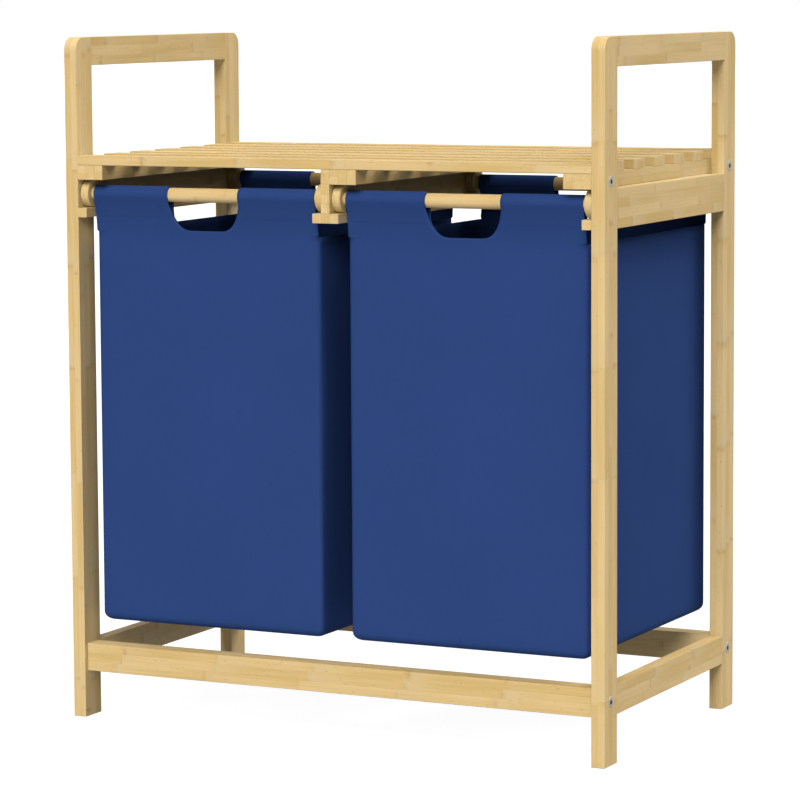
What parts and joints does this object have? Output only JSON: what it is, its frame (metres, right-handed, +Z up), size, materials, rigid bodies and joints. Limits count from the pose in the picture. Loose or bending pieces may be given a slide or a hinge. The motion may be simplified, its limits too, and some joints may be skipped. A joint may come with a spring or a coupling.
{
  "type": "laundry hamper with two bins",
  "caption": "Bamboo rack with a slatted shelf, side handles and fabric laundry bags side by side that roll out to the front on wheeled rods.",
  "frame": {"origin": "on the floor, at the middle of the width and of the depth", "axes": "+X to the right seen from the front, +Y to the back, +Z up; the bags roll out along -Y"},
  "size_m": [0.6196, 0.36, 0.73],
  "materials": {
    "bamboo": "clear satin lacquer over laminated bamboo strips",
    "hidden_bamboo": "plain turned bamboo pegs",
    "blue_fabric": "close woven polyester, matte dark blue",
    "bolt_steel": "zinc-plated",
    "insert_brass": "turned, with a smooth bore in place of the thread"
  },
  "bodies": {
    "rack": {"post_front_left": "bamboo", "post_back_left": "bamboo", "handle_rail_left": "bamboo", "upper_side_rail_left": "bamboo", "lower_side_rail_left": "bamboo", "post_front_right": "bamboo", "post_back_right": "bamboo", "handle_rail_right": "bamboo", "upper_side_rail_right": "bamboo", "lower_side_rail_right": "bamboo", "cross_rail_front": "bamboo", "cross_rail_back": "bamboo", "shelf_slat_1": "bamboo", "shelf_slat_2": "bamboo", "shelf_slat_3": "bamboo", "shelf_slat_4": "bamboo", "shelf_slat_5": "bamboo", "shelf_slat_6": "bamboo", "shelf_slat_7": "bamboo", "shelf_bearer_left": "bamboo", "shelf_bearer_right": "bamboo", "shelf_bearer_middle": "bamboo", "runner_web": "bamboo", "runner_flange": "bamboo", "channel_ledge_left": "bamboo", "stop_peg_left_outer": "hidden_bamboo", "stop_peg_left_inner": "hidden_bamboo", "bolt_upper_front_left": "bolt_steel", "insert_upper_front_left": "insert_brass", "bolt_lower_front_left": "bolt_steel", "insert_lower_front_left": "insert_brass", "bolt_upper_back_left": "bolt_steel", "insert_upper_back_left": "insert_brass", "bolt_lower_back_left": "bolt_steel", "insert_lower_back_left": "insert_brass", "channel_ledge_right": "bamboo", "stop_peg_right_outer": "hidden_bamboo", "stop_peg_right_inner": "hidden_bamboo", "bolt_upper_front_right": "bolt_steel", "insert_upper_front_right": "insert_brass", "bolt_lower_front_right": "bolt_steel", "insert_lower_front_right": "insert_brass", "bolt_upper_back_right": "bolt_steel", "insert_upper_back_right": "insert_brass", "bolt_lower_back_right": "bolt_steel", "insert_lower_back_right": "insert_brass"},
    "left_bag": {"left_bag": "blue_fabric"},
    "left_bag_front_roller": {"left_bag_front_rod": "bamboo", "left_bag_front_wheel_left": "bamboo", "left_bag_front_wheel_right": "bamboo"},
    "left_bag_back_roller": {"left_bag_back_rod": "bamboo", "left_bag_back_wheel_left": "bamboo", "left_bag_back_wheel_right": "bamboo"},
    "right_bag": {"right_bag": "blue_fabric"},
    "right_bag_front_roller": {"right_bag_front_rod": "bamboo", "right_bag_front_wheel_left": "bamboo", "right_bag_front_wheel_right": "bamboo"},
    "right_bag_back_roller": {"right_bag_back_rod": "bamboo", "right_bag_back_wheel_left": "bamboo", "right_bag_back_wheel_right": "bamboo"}
  },
  "joints": [
    {"name": "left_bag_pull_out", "type": "slide", "parent": "rack", "child": "left_bag", "axis": [0, -1, 0], "range_m": [0, 0.3]},
    {"name": "left_bag_front_roller_roll", "type": "hinge", "parent": "left_bag", "child": "left_bag_front_roller", "pos_m": [-0.14995, -0.1613, 0.5645], "axis": [1, 0, 0], "range_deg": [0, 1190]},
    {"name": "left_bag_back_roller_roll", "type": "hinge", "parent": "left_bag", "child": "left_bag_back_roller", "pos_m": [-0.14995, 0.1637, 0.5645], "axis": [1, 0, 0], "range_deg": [0, 1190]},
    {"name": "right_bag_pull_out", "type": "slide", "parent": "rack", "child": "right_bag", "axis": [0, -1, 0], "range_m": [0, 0.3]},
    {"name": "right_bag_front_roller_roll", "type": "hinge", "parent": "right_bag", "child": "right_bag_front_roller", "pos_m": [0.14995, -0.1613, 0.5645], "axis": [1, 0, 0], "range_deg": [0, 1190]},
    {"name": "right_bag_back_roller_roll", "type": "hinge", "parent": "right_bag", "child": "right_bag_back_roller", "pos_m": [0.14995, 0.1637, 0.5645], "axis": [1, 0, 0], "range_deg": [0, 1190]}
  ],
  "couplings": [
    {"joint": "left_bag_front_roller_roll", "follows": "left_bag_pull_out", "rad_per_m": 68.966},
    {"joint": "left_bag_back_roller_roll", "follows": "left_bag_pull_out", "rad_per_m": 68.966},
    {"joint": "right_bag_front_roller_roll", "follows": "right_bag_pull_out", "rad_per_m": 68.966},
    {"joint": "right_bag_back_roller_roll", "follows": "right_bag_pull_out", "rad_per_m": 68.966}
  ]
}
